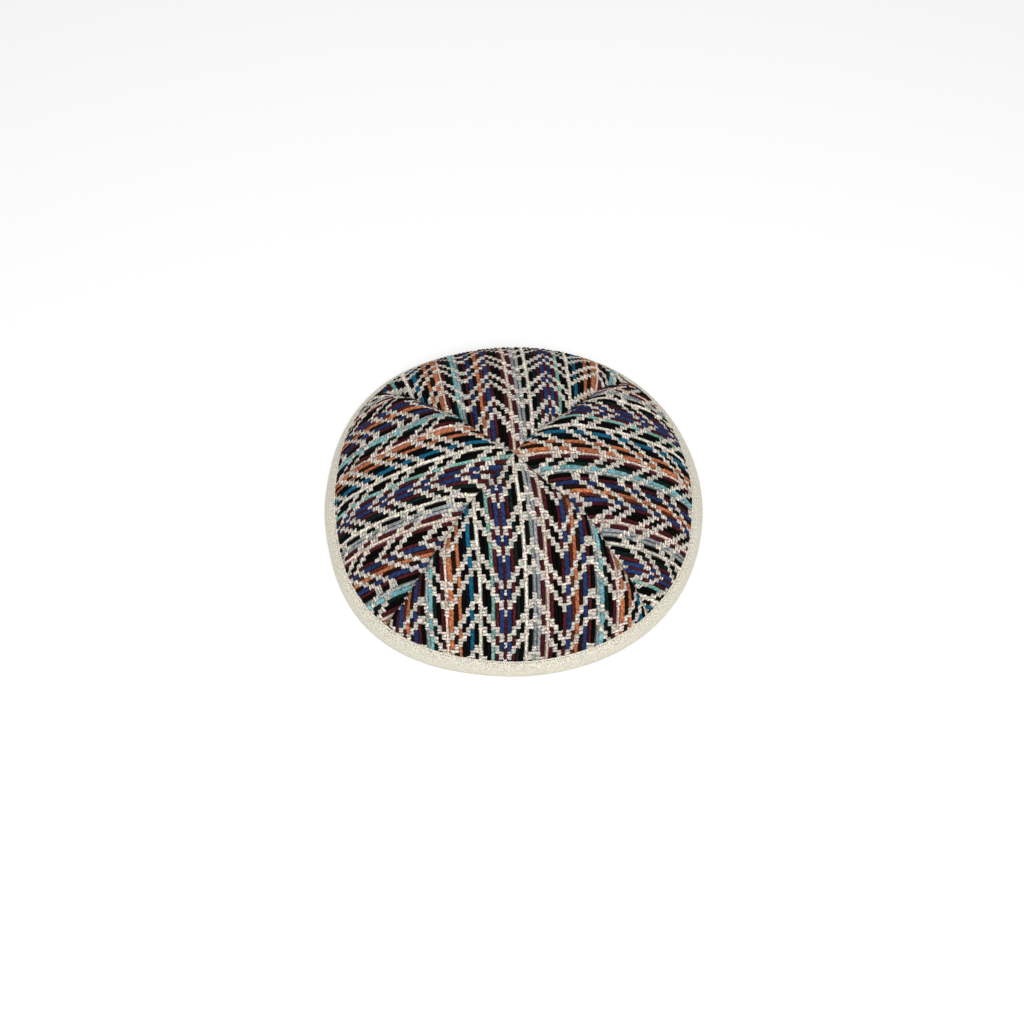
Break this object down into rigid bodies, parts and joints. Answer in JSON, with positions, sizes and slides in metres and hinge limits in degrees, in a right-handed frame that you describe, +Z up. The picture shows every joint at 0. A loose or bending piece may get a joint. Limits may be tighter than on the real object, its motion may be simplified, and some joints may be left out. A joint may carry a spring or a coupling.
{
  "type": "kippah skullcap",
  "caption": "Shallow four-panel skullcap of coloured woven chevron cloth, with a folded ivory tape around its round rim.",
  "frame": {"origin": "middle of the cap's plan, on the surface that its rim stands on", "axes": "+Z up through the apex, the front gore faces -Y, the viewer's right is +X"},
  "size_m": [0.1702, 0.1702, 0.0459],
  "materials": {
    "woven_cloth": "thick handwoven cotton, warp floats in many colours crossed by cream picks that step into chevrons",
    "rim_tape": "ivory plain-weave cotton tape, folded and stitched along its upper edge"
  },
  "bodies": {
    "root": {"crown_front": "woven_cloth", "crown_left": "woven_cloth", "crown_back": "woven_cloth", "crown_right": "woven_cloth", "rim_binding": "rim_tape"}
  },
  "joints": []
}
